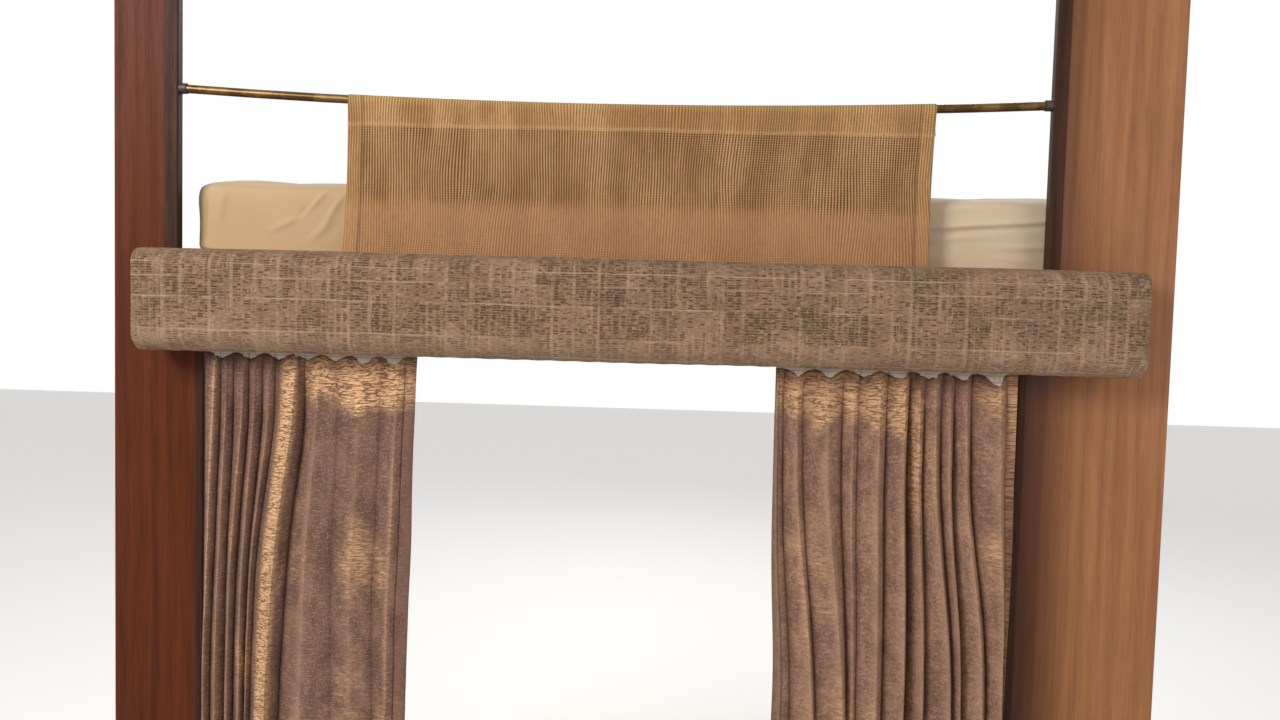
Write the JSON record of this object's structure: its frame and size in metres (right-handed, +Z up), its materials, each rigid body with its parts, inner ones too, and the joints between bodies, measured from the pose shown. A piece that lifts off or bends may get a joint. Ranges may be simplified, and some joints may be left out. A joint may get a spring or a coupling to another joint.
{
  "type": "motorhome over-cab bunk",
  "caption": "Over-cab bunk with padded beam, guard rail and net, mattress on a board, stepped side panels and sliding cab curtains.",
  "frame": {"origin": "middle of the underside of the rear ledge, on the bunk's centre line", "axes": "+X right and +Y forward to the nose of the vehicle, seen from the living space, +Z up"},
  "size_m": [1.97, 1.528, 2.03],
  "materials": {
    "panel_veneer": "satin foil",
    "lipping": "satin",
    "timber": "sawn",
    "plywood": "raw",
    "upholstery": "woven",
    "mattress_cover": "cotton sheet",
    "net": "open weave",
    "rail_steel": "satin",
    "socket": "moulded",
    "curtain_cloth": "chenille",
    "track": "extruded",
    "glider": "moulded"
  },
  "bodies": {
    "bunk": {"ledge_rear": "timber", "ledge_left": "timber", "ledge_right": "timber", "ledge_front": "timber", "joist_1": "timber", "joist_2": "timber", "joist_3": "timber", "bunk_board": "plywood", "mattress": "mattress_cover", "panel_left": "panel_veneer", "panel_right": "panel_veneer", "lipping_upper_left": "lipping", "lipping_upper_right": "lipping", "lipping_lower_left": "lipping", "lipping_lower_right": "lipping", "beam_core": "timber", "beam_padding": "upholstery", "guard_rail": "rail_steel", "rail_socket_left": "socket", "rail_socket_right": "socket", "guard_net": "net", "curtain_track": "track", "track_stop_left": "track", "track_stop_right": "track", "glider_left_end": "glider", "glider_right_end": "glider"},
    "left_lead": {"glider_left_lead": "glider", "curtain_left": "curtain_cloth"},
    "left_glider_1": {"glider_left_1": "glider"},
    "left_glider_2": {"glider_left_2": "glider"},
    "left_glider_3": {"glider_left_3": "glider"},
    "left_glider_4": {"glider_left_4": "glider"},
    "left_glider_5": {"glider_left_5": "glider"},
    "left_glider_6": {"glider_left_6": "glider"},
    "right_lead": {"glider_right_lead": "glider", "curtain_right": "curtain_cloth"},
    "right_glider_1": {"glider_right_1": "glider"},
    "right_glider_2": {"glider_right_2": "glider"},
    "right_glider_3": {"glider_right_3": "glider"},
    "right_glider_4": {"glider_right_4": "glider"},
    "right_glider_5": {"glider_right_5": "glider"},
    "right_glider_6": {"glider_right_6": "glider"}
  },
  "joints": [
    {"name": "left_curtain_slide", "type": "slide", "parent": "bunk", "child": "left_lead", "axis": [1, 0, 0], "range_m": [-0.19, 0.345], "deforming": ["curtain_left"]},
    {"name": "left_glider_1_slide", "type": "slide", "parent": "bunk", "child": "left_glider_1", "axis": [1, 0, 0], "range_m": [-0.01057, 0.01916]},
    {"name": "left_glider_2_slide", "type": "slide", "parent": "bunk", "child": "left_glider_2", "axis": [1, 0, 0], "range_m": [-0.03772, 0.06845]},
    {"name": "left_glider_3_slide", "type": "slide", "parent": "bunk", "child": "left_glider_3", "axis": [1, 0, 0], "range_m": [-0.07483, 0.13584]},
    {"name": "left_glider_4_slide", "type": "slide", "parent": "bunk", "child": "left_glider_4", "axis": [1, 0, 0], "range_m": [-0.11527, 0.20926]},
    {"name": "left_glider_5_slide", "type": "slide", "parent": "bunk", "child": "left_glider_5", "axis": [1, 0, 0], "range_m": [-0.15238, 0.27665]},
    {"name": "left_glider_6_slide", "type": "slide", "parent": "bunk", "child": "left_glider_6", "axis": [1, 0, 0], "range_m": [-0.17953, 0.32594]},
    {"name": "right_curtain_slide", "type": "slide", "parent": "bunk", "child": "right_lead", "axis": [-1, 0, 0], "range_m": [-0.2, 0.308], "deforming": ["curtain_right"]},
    {"name": "right_glider_1_slide", "type": "slide", "parent": "bunk", "child": "right_glider_1", "axis": [-1, 0, 0], "range_m": [-0.01113, 0.01711]},
    {"name": "right_glider_2_slide", "type": "slide", "parent": "bunk", "child": "right_glider_2", "axis": [-1, 0, 0], "range_m": [-0.0397, 0.06111]},
    {"name": "right_glider_3_slide", "type": "slide", "parent": "bunk", "child": "right_glider_3", "axis": [-1, 0, 0], "range_m": [-0.07877, 0.12128]},
    {"name": "right_glider_4_slide", "type": "slide", "parent": "bunk", "child": "right_glider_4", "axis": [-1, 0, 0], "range_m": [-0.12133, 0.18682]},
    {"name": "right_glider_5_slide", "type": "slide", "parent": "bunk", "child": "right_glider_5", "axis": [-1, 0, 0], "range_m": [-0.1604, 0.24699]},
    {"name": "right_glider_6_slide", "type": "slide", "parent": "bunk", "child": "right_glider_6", "axis": [-1, 0, 0], "range_m": [-0.18897, 0.29099]}
  ],
  "couplings": [
    {"joint": "left_glider_1_slide", "follows": "left_curtain_slide", "ratio": 0.05539},
    {"joint": "left_glider_2_slide", "follows": "left_curtain_slide", "ratio": 0.19825},
    {"joint": "left_glider_3_slide", "follows": "left_curtain_slide", "ratio": 0.39359},
    {"joint": "left_glider_4_slide", "follows": "left_curtain_slide", "ratio": 0.60641},
    {"joint": "left_glider_5_slide", "follows": "left_curtain_slide", "ratio": 0.80175},
    {"joint": "left_glider_6_slide", "follows": "left_curtain_slide", "ratio": 0.94461},
    {"joint": "right_glider_1_slide", "follows": "right_curtain_slide", "ratio": 0.05539},
    {"joint": "right_glider_2_slide", "follows": "right_curtain_slide", "ratio": 0.19825},
    {"joint": "right_glider_3_slide", "follows": "right_curtain_slide", "ratio": 0.39359},
    {"joint": "right_glider_4_slide", "follows": "right_curtain_slide", "ratio": 0.60641},
    {"joint": "right_glider_5_slide", "follows": "right_curtain_slide", "ratio": 0.80175},
    {"joint": "right_glider_6_slide", "follows": "right_curtain_slide", "ratio": 0.94461}
  ]
}
